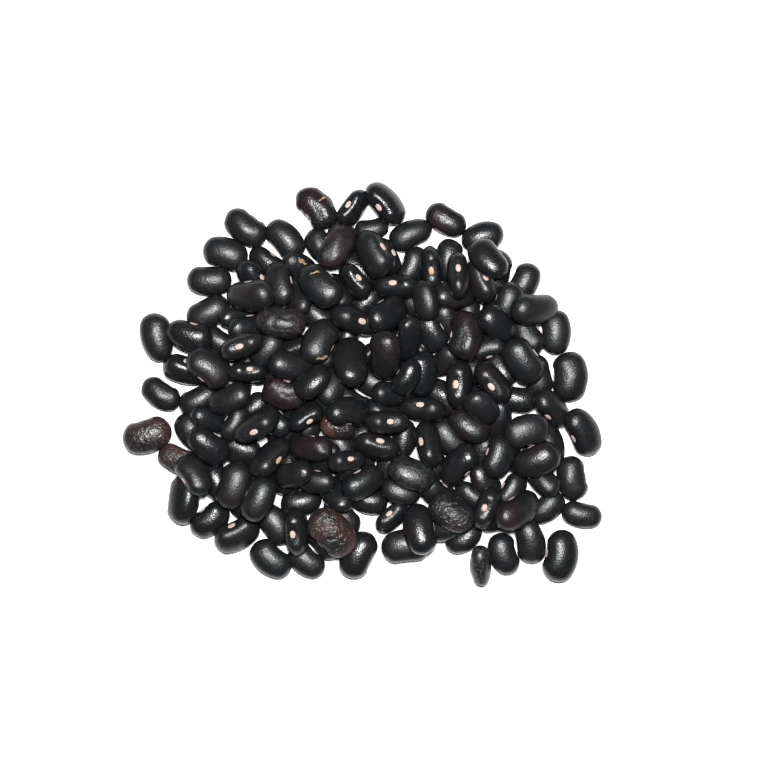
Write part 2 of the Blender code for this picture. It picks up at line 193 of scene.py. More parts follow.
LOW_BEANS = (
    Spot(-23.9, 29.3, -40, 35, 9.8), Spot(-16.7, 29.0, -35, 170, 9.6),
    Spot(-29.0, 14.4, 10, 0, 10.0), Spot(-27.5, 3.8, -50, 0, 10.3), Spot(-27.0, -6.2, 40, 0, 9.0),
    Spot(-30.0, -16.6, -20, 30, 10.5), Spot(-15.5, -29.0, 10, 0, 10.0),
    Spot(-21.7, -33.8, -55, 165, 10.5), Spot(-18.1, -23.0, -85, 50, 11.4),
    Spot(-6.1, -15.1, -60, 0, 9.5), Spot(-4.0, -19.0, 20, 0, 10.0), Spot(9.2, -13.9, 80, 0, 10.0),
    Spot(3.5, -21.0, 70, 0, 9.6), Spot(15.7, -21.2, 60, 0, 10.0), Spot(20.5, -36.4, 20, 0, 10.0),
    Spot(25.5, -27.8, -40, 30, 9.2), Spot(35.4, -26.2, 60, 30, 10.0),
    Spot(43.1, -23.2, -50, 0, 10.0), Spot(20.0, -13.4, -50, 0, 10.6), Spot(10.2, -1.0, 80, 0, 10.0),
    Spot(26.0, -5.0, -80, 30, 9.2), Spot(32.3, -7.4, 85, 0, 10.0), Spot(32.5, 3.4, -60, 0, 10.0),
    Spot(2.0, -0.2, -25, 0, 10.5), Spot(-2.5, -4.3, -30, 0, 10.5), Spot(-18.0, 8.0, 30, 110, 10.0),
    Spot(-11.4, 15.8, -40, 0, 10.8), Spot(13.3, 18.7, -20, 0, 10.6), Spot(6.1, 15.8, 80, 40, 9.8),
    Spot(39.0, 11.0, -62, 0, 11.4, Skin.PURPLE), Spot(5.4, 31.2, -65, 60, 9.6),
    Spot(11.6, 27.8, 65, 0, 10.2), Spot(20.3, 29.3, -85, 0, 10.8), Spot(25.0, 15.8, -80, 0, 9.4),
    Spot(31.1, 15.4, 88, 30, 10.0), Spot(-26.5, 26.2, -60, 60, 10.0), Spot(-24.6, 9.2, 50, 0, 9.6),
    Spot(-25.5, -21.4, 30, 0, 9.5), Spot(-38.6, -8.5, -20, 0, 9.4), Spot(8.2, 3.0, 60, 0, 9.4),
    Spot(-5.8, 12.0, 80, 0, 9.2), Spot(26.9, 4.8, -30, 0, 9.6), Spot(34.2, 19.4, 70, 0, 9.4),
    Spot(-29.3, -30.2, 20, 0, 9.6), Spot(-18.2, -13.2, 60, 0, 9.4), Spot(18.6, -25.4, -30, 0, 9.8),
    Spot(-15.2, 20.6, -60, 0, 9.6), Spot(-8.3, -20.4, 50, 0, 9.6), Spot(7.0, -27.6, -20, 0, 9.6),
    Spot(26.6, -15.4, 50, 0, 9.4), Spot(-8.8, 2.4, 30, 0, 9.2), Spot(20.6, 16.2, -60, 0, 9.2),
    Spot(-6.6, -25.4, -50, 0, 9.4), Spot(-32.6, -10.4, 60, 0, 9.4), Spot(-21.4, -9.8, -40, 0, 9.2),
    Spot(0.4, 18.4, 40, 0, 9.2), Spot(-35.2, 11.2, -30, 0, 9.0), Spot(28.2, -23.6, -60, 0, 9.4),
)

TOP_BEANS = (
    Spot(-42.1, 12.0, -20, 0, 11.5), Spot(-37.1, 3.6, -36, 165, 11.6),
    Spot(-30.6, 10.1, 20, 105, 11.0), Spot(-32.3, -4.1, 23, 0, 10.6),
    Spot(-25.3, -10.3, 28, 95, 11.8), Spot(-36.0, -13.7, -38, 0, 11.2),
    Spot(-22.7, -17.3, 48, 118, 11.2), Spot(-40.2, -20.6, -55, 168, 10.8),
    Spot(-31.3, -24.7, 72, 0, 11.5), Spot(-25.1, -27.8, 65, 0, 11.2),
    Spot(-16.9, -35.6, -84, 90, 11.7),
    Spot(-7.3, -34.2, -48, 180, 13.4, Skin.BROWN, Form.WRINKLED, warmth=0.42),
    Spot(-11.2, -24.7, -10, 20, 9.2), Spot(-2.0, -23.0, 30, 0, 10.8),
    Spot(12.4, -33.6, -80, 0, 12.0),
    Spot(20.5, -31.9, -35, 0, 11.8, Skin.PURPLE, Form.WRINKLED, warmth=0.12),
    Spot(29.6, -30.5, 68, 60, 10.6),
    Spot(34.9, -32.2, 32, 20, 11.5, Skin.PURPLE, Form.KIDNEY, warmth=0.25),
    Spot(23.4, -20.6, 50, 160, 11.2), Spot(31.1, -17.8, 68, 0, 10.8),
    Spot(39.5, -19.2, 22, 0, 11.5), Spot(38.5, -11.5, 15, 180, 11.2),
    Spot(9.5, -23.3, -20, 0, 11.8, Skin.BLACK, Form.DENTED, warmth=0.1, speckle=0.35),
    Spot(13.8, -16.3, -80, 140, 10.8), Spot(24.3, -11.5, -35, 0, 11.0, Skin.PURPLE),
    Spot(2.8, -15.4, -15, 60, 11.4), Spot(-12.6, -15.6, -8, 0, 10.4, Skin.PURPLE),
    Spot(-14.8, -9.6, 33, 110, 9.4), Spot(3.7, -8.0, 0, 100, 10.4),
    Spot(-6.4, -9.6, -10, 0, 9.0, Skin.BROWN, Form.PLUMP, warmth=0.28),
    Spot(14.8, -7.4, -5, 70, 11.0), Spot(21.5, -0.5, 88, 88, 11.8), Spot(30.0, -0.5, -50, 95, 11.5),
    Spot(14.8, 1.0, 85, 0, 11.0), Spot(-8.8, -2.2, 58, 172, 10.2),
    Spot(-19.0, -3.4, -15, 0, 10.4, Skin.PURPLE, Form.CREASED, warmth=0.5),
    Spot(-19.1, 2.9, -10, 0, 11.0), Spot(29.2, 8.0, 15, 155, 9.8), Spot(37.0, 6.5, -54, 0, 12.2),
    Spot(39.0, 19.0, 5, 10, 11.6), Spot(24.1, 10.6, 85, 0, 12.0, Skin.PURPLE),
    Spot(17.2, 13.4, -60, 0, 9.8), Spot(11.8, 11.0, 80, 35, 10.2),
    Spot(6.4, 8.0, 88, 0, 11.2, Skin.PURPLE), Spot(-2.5, 16.3, -18, 100, 12.2),
    Spot(19.8, 19.2, 0, 0, 9.8), Spot(26.0, 22.6, -68, 65, 11.0), Spot(22.2, 23.8, -88, 90, 10.6),
    Spot(17.2, 26.8, -85, 92, 10.6), Spot(8.0, 23.3, 0, 90, 11.3), Spot(-2.5, 24.0, -52, 80, 9.8),
    Spot(0.4, 29.1, -62, 52, 12.0), Spot(-6.1, 32.0, 62, 0, 12.0, Skin.PURPLE),
    Spot(-9.2, 22.3, -42, 0, 12.0), Spot(-19.1, 23.0, -78, 0, 10.8), Spot(-25.8, 21.1, 0, 0, 11.6),
    Spot(27.7, 27.6, -50, 0, 10.8),
    Spot(-20.0, 14.2, -5, 0, 12.2, Skin.PURPLE, Form.CREASED, warmth=0.45, speckle=0.25),
    Spot(-11.4, 8.4, 60, 165, 11.3), Spot(-2.5, 6.3, -85, 0, 12.6),
)


def deselect_all() -> None:
    """Leave nothing selected, in object mode."""
    if bpy.context.object is not None and bpy.context.object.mode != "OBJECT":
        bpy.ops.object.mode_set(mode="OBJECT")
    bpy.ops.object.select_all(action="DESELECT")


def make_active(piece: bpy.types.Object) -> None:
    """Select one object alone and make it the active one.

    Args:
        piece: the object to work on.
    """
    deselect_all()
    piece.select_set(True)
    bpy.context.view_layer.objects.active = piece


def join_pieces(pieces: list[bpy.types.Object], name: str) -> bpy.types.Object:
    """Join objects into one and name it.

    Args:
        pieces: the objects, which are used up.
        name: the joined object's name.

    Returns:
        The joined object.
    """
    make_active(pieces[0])
    for piece in pieces[1:]:
        piece.select_set(True)
    if len(pieces) > 1:
        bpy.ops.object.join()
    whole = bpy.context.view_layer.objects.active
    whole.name = name
    whole.data.name = name
    deselect_all()
    return whole


@dataclass
class BeanPile:
    """The rule by which the beans come to rest, the same as in the part's own source."""

    bean_length: Span = (8.8, 11.8)
    longest_bean: float = 13.2
    width_share: Span = (0.63, 0.71)
    thickness_share: Span = (0.48, 0.55)
    on_edge_share: float = 0.42
    on_edge_roll: Span = (25, 155)
    flat_roll: Span = (-14, 14)
    pitches: range = range(-32, 33, 8)
    leans: range = range(-14, 15, 14)
    seed: int = 7
    cell: float = 0.5
    reach: int = 16
    field_half_x: float = 76.0
    field_half_y: float = 68.0
    nudge_cells: int = 3
    nudge_cost: float = 0.3
    turn_cost: float = 0.0002
    nestle: float = 0.6
    pour_cells: int = 6
    pour_step: int = 2
    hidden_share: float = 0.5
    spot_tries: int = 4000
    spot_half_x: float = 56.0
    spot_half_y: float = 48.0
    far_off: float = 1e6
    purple_share: float = 0.12
    beans: list[Bean] = field(default_factory=list)
    middle: Span = (0.0, 0.0)

    def __post_init__(self) -> None:
        """Lay out the bare ground, the cells that are kept open, and the rim's outline."""
        self.draw = random.Random(self.seed)
        self.skin_draw = random.Random(self.seed + 100)
        shape = (int(2 * self.field_half_y / self.cell) + 1,
                 int(2 * self.field_half_x / self.cell) + 1)
        self.ground = np.zeros(shape)
        self.kept = np.zeros(shape, bool)
        rim = sorted((math.atan2(spot.y, spot.x), math.hypot(spot.x, spot.y)) for spot in RIM_BEANS)
        self.rim_angle = [angle for angle, _ in rim]
        self.rim_radius = [radius for _, radius in rim]

    @staticmethod
    def turned_axes(heading: float, roll: float, pitch: float) -> tuple[Triple, Triple, Triple]:
        """Turn a bean.

        Args:
            heading: degrees of its length from +X, seen from above.
            roll: degrees that its eye side is turned up from the left.
            pitch: degrees that its front end is raised.

        Returns:
            Its length, eye and face directions.
        """
        ch, sh, cr, sr, cp, sp = (
            round(turn(math.radians(angle)), 9)
            for angle in (heading, roll, pitch) for turn in (math.cos, math.sin))
        length = (ch * cp, sh * cp, sp)
        left = (-sh, ch, 0.0)
        up = (-ch * sp, -sh * sp, cp)
        eye = tuple(cr * a + sr * b for a, b in zip(left, up))
        face = (length[1] * eye[2] - length[2] * eye[1],
                length[2] * eye[0] - length[0] * eye[2],
                length[0] * eye[1] - length[1] * eye[0])
        return length, eye, face

    def heights(self, axes: tuple[Triple, Triple, Triple], half: Triple, off_x: float,
                off_y: float) -> tuple[np.ndarray, np.ndarray, np.ndarray]:
        """Work out a bean's surface over the cells round it.

        Args:
            axes: its unit axes.
            half: its half sizes.
            off_x: its middle's distance from the middle cell, along X.
            off_y: the same along Y.

        Returns:
            Its lower and upper surface from its middle, and the cells it covers.
        """
        form = [[sum(a[i] * a[j] / (h * h) for a, h in zip(axes, half)) for j in range(3)]
                for i in range(3)]
        steps = np.arange(-self.reach, self.reach + 1) * self.cell
        x = (steps - off_x)[None, :]
        y = (steps - off_y)[:, None]
        slope = form[0][2] * x + form[1][2] * y
        level = form[0][0] * x * x + 2 * form[0][1] * x * y + form[1][1] * y * y - 1.0
        inside = slope * slope - form[2][2] * level
        covered = inside >= 0
        root = np.sqrt(np.where(covered, inside, 0.0))
        low = np.where(covered, (-slope - root) / form[2][2], self.far_off)
        high = np.where(covered, (-slope + root) / form[2][2], -self.far_off)
        return low, high, covered

    def share_out(self, x: float, y: float) -> float:
        """Tell how far out a place is: 0 in the middle and 1 at the rim beans."""
        rim = np.interp(math.atan2(y, x), self.rim_angle, self.rim_radius, period=2 * math.pi)
        return round(math.hypot(x, y) / float(rim), 6)

    def half_sizes(self, length: float) -> Triple:
        """Draw the half length, width and thickness of a bean of this length."""
        return (length / 2, length / 2 * self.draw.uniform(*self.width_share),
                length / 2 * self.draw.uniform(*self.thickness_share))

    def settle(self, spot: Spot, half: Triple, cover: bool = False,
               limit: Limit | None = None) -> None:
        """Try tilts and small shifts, and leave the bean at the lowest rest.

        It nestles in a little, as the others give way. A placed bean's length is what shows
        from above, so a tilted one is longer.

        Args:
            spot: its place, heading, roll and seed coat.
            half: its half sizes.
            cover: if other beans may be poured over it.
            limit: for a poured bean, the height it may come to at a place.
        """
        ix = round((spot.x + self.field_half_x) / self.cell)
        iy = round((spot.y + self.field_half_y) / self.cell)
        off_x = spot.x + self.field_half_x - ix * self.cell
        off_y = spot.y + self.field_half_y - iy * self.cell
        poured = limit is not None
        reach, step, cost = (self.pour_cells, self.pour_step, 0.0) if poured else (
            self.nudge_cells, 1, self.nudge_cost)
        bed = np.maximum(self.ground - self.nestle, 0.0)
        best = None
        for pitch in self.pitches:
            tilted = half[0] / math.cos(math.radians(pitch))
            most = half[0] if poured else max(half[0], self.longest_bean / 2)
            sizes = (round(min(tilted, most), 9), half[1], half[2])
            for lean in self.leans:
                axes = self.turned_axes(spot.heading, spot.roll + lean, pitch)
                low, high, covered = self.heights(axes, sizes, off_x, off_y)
                for jy in range(iy - reach, iy + reach + 1, step):
                    for jx in range(ix - reach, ix + reach + 1, step):
                        window = (slice(jy - self.reach, jy + self.reach + 1),
                                  slice(jx - self.reach, jx + self.reach + 1))
                        z = round(float((bed[window] - low).max()), 5)
                        move = math.hypot(jx - ix, jy - iy) * self.cell
                        turn = self.turn_cost * (abs(pitch) + abs(lean))
                        effort = round(z + cost * move + turn, 6)
                        if best is None or effort < best[0]:
                            best = (effort, z, window, jx, jy, axes, sizes, high, covered)
        _, z, window, jx, jy, axes, sizes, high, covered = best
        x = jx * self.cell - self.field_half_x + off_x
        y = jy * self.cell - self.field_half_y + off_y
        hides = int((covered & self.kept[window]).sum())
        if poured and (z > limit(x, y) or hides > self.hidden_share * covered.sum()):
            return
        over = covered & (high + z > self.ground[window])
        self.ground[window] = np.where(over, high + z, self.ground[window])
        self.kept[window] = np.where(over, not (poured or cover), self.kept[window])
        self.beans.append(Bean((x, y, z), axes, sizes, spot))

    def place(self, spots: tuple[Spot, ...], cover: bool = False) -> None:
        """Set down chosen beans, each at its own place.

        Args:
            spots: where they lie.
            cover: if other beans may be poured over them.
        """
        for spot in spots:
            self.settle(spot, self.half_sizes(spot.length), cover=cover)

    def bare_spot(self, spread: float) -> Span:
        """Find a place inside the rim where nothing lies yet, as long as there is one.

        Args:
            spread: how far out it may be, as a share of the rim.

        Returns:
            The place's x and y.
        """
        for _ in range(self.spot_tries):
            x = self.draw.uniform(-self.spot_half_x, self.spot_half_x)
            y = self.draw.uniform(-self.spot_half_y, self.spot_half_y)
            ix = round((x + self.field_half_x) / self.cell)
            iy = round((y + self.field_half_y) / self.cell)
            if self.ground[iy, ix] == 0 and self.share_out(x, y) < spread:
                break
        return x, y

    def pour(self, beans: Pour) -> None:
        """Drop beans on bare places, up to a limit that rises towards the middle.

        Args:
            beans: how many, and where. Those that would lie too high are taken away again.
        """
        def limit(x: float, y: float) -> float:
            """Give the height that a bean's middle may have at a place."""
            return beans.edge_height + (beans.crown_height - beans.edge_height) * max(
                0.0, 1 - self.share_out(x, y) ** 3)

        for _ in range(beans.count):
            x, y = self.bare_spot(beans.spread)
            if self.draw.random() < self.on_edge_share:
                roll = self.draw.uniform(*self.on_edge_roll)
            else:
                roll = self.draw.choice((0, 180)) + self.draw.uniform(*self.flat_roll)
            heading = self.draw.uniform(-90, 90)
            half = self.half_sizes(self.draw.uniform(*self.bean_length))
            skin = Skin.PURPLE if self.skin_draw.random() < self.purple_share else Skin.BLACK
            self.settle(Spot(x, y, heading, roll, half[0] * 2, skin), half, limit=limit)

    def heap_up(self) -> list[Bean]:
        """Lay the rim and the low beans, pour the floor, set the top beans and fill gaps.

        Returns:
            All beans, moved so that the heap's outline is centred on the origin.
        """
        self.place(RIM_BEANS)
        self.place(LOW_BEANS, cover=True)
        self.pour(FLOOR_POUR)
        self.place(TOP_BEANS)
        self.pour(GAP_POUR)
        self.middle = (self.outline_middle(0), self.outline_middle(1))
        return [replace(bean, centre=(bean.centre[0] - self.middle[0],
                                      bean.centre[1] - self.middle[1], bean.centre[2]))
                for bean in self.beans]

    def outline_middle(self, way: int) -> float:
        """Find the middle of the heap's outline.

        Args:
            way: 0 for along X, 1 for along Y.

        Returns:
            The place halfway between the outermost beans' sides.
        """
        spread = [math.sqrt(sum((axis[way] * size) ** 2 for axis, size in
                                zip(bean.axes, bean.half))) for bean in self.beans]
        lows = [bean.centre[way] - out for bean, out in zip(self.beans, spread)]
        highs = [bean.centre[way] + out for bean, out in zip(self.beans, spread)]
        return (min(lows) + max(highs)) / 2


@dataclass(frozen=True)
class Shape:
    """How one form departs from a plain oval.

    Bend is in degrees, hollow is how far the eye side is drawn in, taper narrows one end and
    fullness squares the outline. A dent's size and a ripple's are those of its cloud pattern,
    and fineness is how often the faces are halved to carry it. Lengths are shares of the half
    length.
    """

    bend: float
    hollow: float
    taper: float
    fullness: float
    dent: float = 0.0
    dent_size: float = 0.9
    creased: bool = False
    ripple: float = 0.0
    ripple_size: Triple = (0.24, 0.075, 0.075)
    fineness: int = 0


SHAPES: dict[Form, Shape] = {
    Form.PLUMP: Shape(bend=30, hollow=0.07, taper=0.05, fullness=0.14),
    Form.KIDNEY: Shape(bend=56, hollow=0.13, taper=0.10, fullness=0.15),
    Form.EGG: Shape(bend=34, hollow=0.07, taper=0.22, fullness=0.12),
    Form.LONG: Shape(bend=44, hollow=0.10, taper=-0.10, fullness=0.17),
    Form.DENTED: Shape(bend=40, hollow=0.10, taper=0.08, fullness=0.13, dent=0.10,
                       dent_size=0.75),
    Form.FOLDED: Shape(bend=42, hollow=0.12, taper=-0.10, fullness=0.14, dent=0.16,
                       dent_size=0.5),
    Form.CREASED: Shape(bend=36, hollow=0.08, taper=0.05, fullness=0.14, dent=0.05,
                        dent_size=0.55, creased=True, fineness=2),
    Form.WRINKLED: Shape(bend=36, hollow=0.10, taper=0.08, fullness=0.12, dent=0.07,
                         dent_size=0.8, ripple=0.050, fineness=3),
    Form.SHRUNKEN: Shape(bend=34, hollow=0.10, taper=-0.12, fullness=0.12, dent=0.12,
                         dent_size=0.6, ripple=0.024, ripple_size=(0.14, 0.10, 0.10),
                         fineness=2),
}


@dataclass
class BeanMould:
    """One bean body and its eye, modelled once at half length 1 and copied for every bean."""

    form: Form
    width: float = 0.67
    thickness: float = 0.52
    segments: int = 26
    rings: int = 18
    barrel_cuts: tuple[float, ...] = (0.1, 0.25, 0.4, 0.55)
    barrel_step: float = 0.05
    eye_top: float = 0.99
    hollow_reach: float = 1.15
    eye_ring: float = 20.5
    trough_stretch: Triple = (1.2, 1.0, 1.1)
    trough_reach: float = 0.4
    trough: float = 0.022
    trough_slope: float = 0.085
    lip: float = 0.032
    lip_height: float = 0.020
    seat_slope: float = 0.6
    seat_depth: float = 0.8
    pad_half: Triple = (0.200, 0.235, 0.050)
    pad_lift: float = 0.022
    pad_segments: int = 16
    dot_half: Triple = (0.038, 0.070, 0.046)
    dot_place: float = -0.33
    dot_sink: float = 0.01
    dot_segments: int = 8
    lens_place: float = 0.43
    lens_height: float = 0.026
    lens_points: int = 2
    dent_level: float = 0.55
    ripple_level: float = 0.5
    ripple_turn: Triple = (0.3, 0.2, 0.9)

    def model(self) -> tuple[bpy.types.Mesh, bpy.types.Mesh]:
        """Model the body and the eye.

        Returns:
            The meshes of the skin and of the eye's pale parts, in a box of half size 1.
        """
        whole = join_pieces([self.body(), self.eye()], f"mould_{self.form.value}")
        self.deform(whole)
        return self.split(whole)

    def body(self) -> bpy.types.Object:
        """Shape an oval with a trough, a raised lip and a seat where the eye is.

        Returns:
            The body, with its eye side at +Y and a small bump beside the eye.
        """
        bpy.ops.mesh.primitive_uv_sphere_add(segments=self.segments, ring_count=self.rings,
                                             radius=1.0, rotation=(-math.pi / 2, 0, 0))
        body = bpy.context.object
        bpy.ops.object.transform_apply(location=False, rotation=True, scale=False)
        bpy.ops.object.mode_set(mode="EDIT")
        bpy.ops.mesh.select_all(action="DESELECT")
        bpy.ops.object.mode_set(mode="OBJECT")
        edge = math.cos(math.radians(self.eye_ring))
        for face in body.data.polygons:
            face.select = all(body.data.vertices[i].co.y > edge for i in face.vertices)
        bpy.ops.object.mode_set(mode="EDIT")
        bpy.ops.transform.resize(value=self.trough_stretch, use_proportional_edit=True,
                                 proportional_edit_falloff="SMOOTH",
                                 proportional_size=self.trough_reach)
        bpy.ops.mesh.inset(thickness=self.trough_slope, use_even_offset=False)
        bpy.ops.transform.translate(value=(0, -self.trough, 0))
        bpy.ops.mesh.inset(thickness=self.lip, use_even_offset=False)
        bpy.ops.transform.translate(value=(0, self.lip_height, 0))
        bpy.ops.mesh.inset(thickness=self.lip * self.seat_slope, use_even_offset=False)
        bpy.ops.transform.translate(value=(0, -self.lip_height * self.seat_depth, 0))
        bpy.ops.mesh.select_all(action="DESELECT")
        bpy.ops.object.mode_set(mode="OBJECT")
        spot = Vector((self.lens_place, math.sqrt(1 - self.lens_place ** 2), 0))
        nearest = sorted(body.data.vertices, key=lambda vert: round((vert.co - spot).length, 5))
        for vert in nearest[:self.lens_points]:
            vert.select = True
        bpy.ops.object.mode_set(mode="EDIT")
        bpy.ops.transform.translate(value=(0, self.lens_height, 0))
        bpy.ops.object.mode_set(mode="OBJECT")
        return body

    def eye(self) -> bpy.types.Object:
        """Shape the pale oval pad and the dark dot beside it.

        Returns:
            Both, joined.
        """
        pad_level = math.cos(math.radians(self.eye_ring)) + self.pad_lift
        dot_level = math.sqrt(1 - self.dot_place ** 2) - self.dot_sink
        pad = ((0.0, pad_level, 0.0), self.pad_half, self.pad_segments)
        dot = ((self.dot_place, dot_level, 0.0), self.dot_half, self.dot_segments)
        parts = []
        for place, half, segments in (pad, dot):
            bpy.ops.mesh.primitive_uv_sphere_add(segments=segments, ring_count=segments // 2,
                                                 radius=1.0, location=place,
                                                 rotation=(-math.pi / 2, 0, 0))
            part = bpy.context.object
            part.scale = half
            bpy.ops.object.transform_apply(location=True, rotation=True, scale=True)
            parts.append(part)
        return join_pieces(parts, "mould_eye")

    @staticmethod
    def choose(piece: bpy.types.Object, wanted: Callable[[Vector], bool]) -> None:
        """Select, in edit mode, only the points whose place is wanted.

        Args:
            piece: the object being edited.
            wanted: tells if a place is wanted.
        """
        bpy.ops.mesh.select_all(action="DESELECT")
        bpy.ops.object.mode_set(mode="OBJECT")
        for vert in piece.data.vertices:
            vert.select = wanted(vert.co)
        bpy.ops.object.mode_set(mode="EDIT")

    def deform(self, whole: bpy.types.Object) -> None:
        """Bend, taper and dent the body with modifiers, and apply them.

        Args:
            whole: the body with its eye.
        """
        shape = SHAPES[self.form]
        make_active(whole)
        bpy.ops.object.mode_set(mode="EDIT")
        bpy.ops.mesh.select_mode(type="VERT")
        for cut in self.barrel_cuts:
            for side in (-1, 1):
                self.choose(whole, lambda place: side * place.x > cut)
                bpy.ops.transform.translate(value=(side * self.barrel_step, 0, 0))
        self.choose(whole, lambda place: place.y > self.eye_top)
        bpy.ops.transform.translate(value=(0, -shape.hollow, 0), use_proportional_edit=True,
                                    proportional_edit_falloff="SMOOTH",
                                    proportional_size=self.hollow_reach)
        bpy.ops.object.mode_set(mode="OBJECT")
        whole.scale = (1.0, self.width, self.thickness)
        bpy.ops.object.transform_apply(location=False, rotation=False, scale=True)
        if shape.fineness:
            finer = whole.modifiers.new("finer", "SUBSURF")
            finer.levels = shape.fineness
            finer.render_levels = shape.fineness
        full = whole.modifiers.new("fullness", "CAST")
        full.cast_type = "CUBOID"
        full.factor = shape.fullness
        full.use_z = False
        taper = whole.modifiers.new("taper", "SIMPLE_DEFORM")
        taper.deform_method = "TAPER"
        taper.deform_axis = "X"
        taper.factor = shape.taper
        bend = whole.modifiers.new("bend", "SIMPLE_DEFORM")
        bend.deform_method = "BEND"
        bend.deform_axis = "Z"
        bend.angle = math.radians(shape.bend)
        if shape.dent:
            dents = whole.modifiers.new("dents", "DISPLACE")
            dents.texture = self.pattern("dents", shape.dent_size)
            dents.texture_coords = "LOCAL"
            dents.mid_level = self.dent_level
            dents.strength = shape.dent
        guide = None
        if shape.ripple:
            bpy.ops.object.empty_add(rotation=self.ripple_turn)
            guide = bpy.context.object
            guide.scale = shape.ripple_size
            make_active(whole)
            bpy.context.view_layer.update()
            ripples = whole.modifiers.new("ripples", "DISPLACE")
            ripples.texture = self.pattern("ripples", 1.0)
            ripples.texture_coords = "OBJECT"
            ripples.texture_coords_object = guide
            ripples.mid_level = self.ripple_level
            ripples.strength = shape.ripple
        for modifier in [item.name for item in whole.modifiers]:
            bpy.ops.object.modifier_apply(modifier=modifier)
        if guide is not None:
            bpy.data.objects.remove(guide, do_unlink=True)

    def pattern(self, name: str, size: float) -> bpy.types.Texture:
        """Make the cloud pattern that a relief is pressed in with.

        Args:
            name: what it is for.
            size: the size of its spots.

        Returns:
            The pattern.
        """
        pattern = bpy.data.textures.new(f"{self.form.value}_{name}", "CLOUDS")
        pattern.noise_scale = size
        pattern.noise_depth = 1
        if SHAPES[self.form].creased:
            pattern.noise_type = "HARD_NOISE"
        return pattern

    def split(self, whole: bpy.types.Object) -> tuple[bpy.types.Mesh, bpy.types.Mesh]:
        """Separate the pale pad from the body and its dot, and bring both to half size 1.

        Args:
            whole: the deformed body with its eye.

        Returns:
            The skin's mesh and the eye's mesh.
        """
        make_active(whole)
        bpy.ops.object.mode_set(mode="EDIT")
        bpy.ops.mesh.select_all(action="SELECT")
        bpy.ops.mesh.separate(type="LOOSE")
        bpy.ops.object.mode_set(mode="OBJECT")
        body, eye, dot = sorted(bpy.context.selected_objects,
                                key=lambda part: -len(part.data.vertices))
        skin = join_pieces([body, dot], f"skin_{self.form.value}")
        corners = np.array([vert.co for vert in skin.data.vertices])
        low, high = corners.min(axis=0), corners.max(axis=0)
        fit = Matrix.Diagonal((*(2 / (high - low)), 1.0)) @ Matrix.Translation(
            Vector(-(low + high) / 2))
        meshes = []
        for part in (skin, eye):
            mesh = part.data.copy()
            mesh.transform(fit)
            bpy.data.objects.remove(part, do_unlink=True)
            meshes.append(mesh)
        return meshes[0], meshes[1]


@dataclass
class NodeBoard:
    """The nodes of one material, with short ways to add the usual ones."""

    material: bpy.types.Material

    def __post_init__(self) -> None:
        """Switch the nodes on and find the shader."""
        self.material.use_nodes = True
        self.nodes = self.material.node_tree.nodes
        self.links = self.material.node_tree.links
        self.shader = self.nodes["Principled BSDF"]
        self.place = self.nodes.new("ShaderNodeTexCoord").outputs["Object"]
        tint = self.nodes.new("ShaderNodeAttribute")
        tint.attribute_name = "bean_tint"
        parts = self.nodes.new("ShaderNodeSeparateColor")
        self.links.new(tint.outputs["Color"], parts.inputs[0])
        self.tints = (*parts.outputs, tint.outputs["Alpha"])

    def noise(self, scale: float, detail: float = 3.0,
              distortion: float = 0.0) -> bpy.types.NodeSocket:
        """Add a noise pattern.

        Args:
            scale: how many spots it has to the metre.
            detail: how many finer layers it has.
            distortion: how far its spots are drawn out.

        Returns:
            The pattern's strength, around a half.
        """
        node = self.nodes.new("ShaderNodeTexNoise")
        node.inputs["Scale"].default_value = scale
        node.inputs["Detail"].default_value = detail
        node.inputs["Distortion"].default_value = distortion
        self.links.new(self.place, node.inputs["Vector"])
        return node.outputs["Fac"]

    def fill(self, socket: bpy.types.NodeSocket, value: Source) -> None:
        """Link a socket to another one, or set its number or colour.

        Args:
            socket: the input.
            value: an output, a number or a colour.
        """
        if isinstance(value, bpy.types.NodeSocket):
            self.links.new(value, socket)
        else:
            socket.default_value = value

    def mix(self, factor: Source, low: Source, high: Source,
            blend: str = "MIX") -> bpy.types.NodeSocket:
        """Mix two colours.

        Args:
            factor: how much of the second one.
            low: the first colour.
            high: the second colour.
            blend: how they are mixed.

        Returns:
            The mixed colour.
        """
        node = self.nodes.new("ShaderNodeMix")
        node.data_type = "RGBA"
        node.blend_type = blend
        for key, value in ((0, factor), (6, low), (7, high)):
            self.fill(node.inputs[key], value)
        return node.outputs[2]

    def stretch(self, value: bpy.types.NodeSocket, low: float, high: float, out_low: Source,
                out_high: Source) -> bpy.types.NodeSocket:
        """Map a range of a value on to another range, clamped.

        Args:
            value: the value.
            low: where its range starts.
            high: where its range ends.
            out_low: what the start becomes.
            out_high: what the end becomes.

        Returns:
            The mapped value.
        """
        node = self.nodes.new("ShaderNodeMapRange")
        for key, number in (("Value", value), ("From Min", low), ("From Max", high),
                            ("To Min", out_low), ("To Max", out_high)):
            self.fill(node.inputs[key], number)
        return node.outputs["Result"]

    def work(self, operation: str, first: Source, second: Source) -> bpy.types.NodeSocket:
        """Add a sum or a product of two numbers.

        Args:
            operation: which of the two, as the node names it.
            first: the first number.
            second: the second number.

        Returns:
            The result.
        """
        node = self.nodes.new("ShaderNodeMath")
        node.operation = operation
        self.fill(node.inputs[0], first)
        self.fill(node.inputs[1], second)
        return node.outputs[0]

    def bumps(self, *layers: tuple[bpy.types.NodeSocket, float, float]) -> None:
        """Give the shader bumps.

        Args:
            layers: for each layer its pattern, its depth in metres and its strength.
        """
        normal = None
        for height, depth, strength in layers:
            node = self.nodes.new("ShaderNodeBump")
            node.inputs["Distance"].default_value = depth
            node.inputs["Strength"].default_value = strength
            self.links.new(height, node.inputs["Height"])
            if normal is not None:
                self.links.new(normal, node.inputs["Normal"])
            normal = node.outputs["Normal"]
        self.links.new(normal, self.shader.inputs["Normal"])


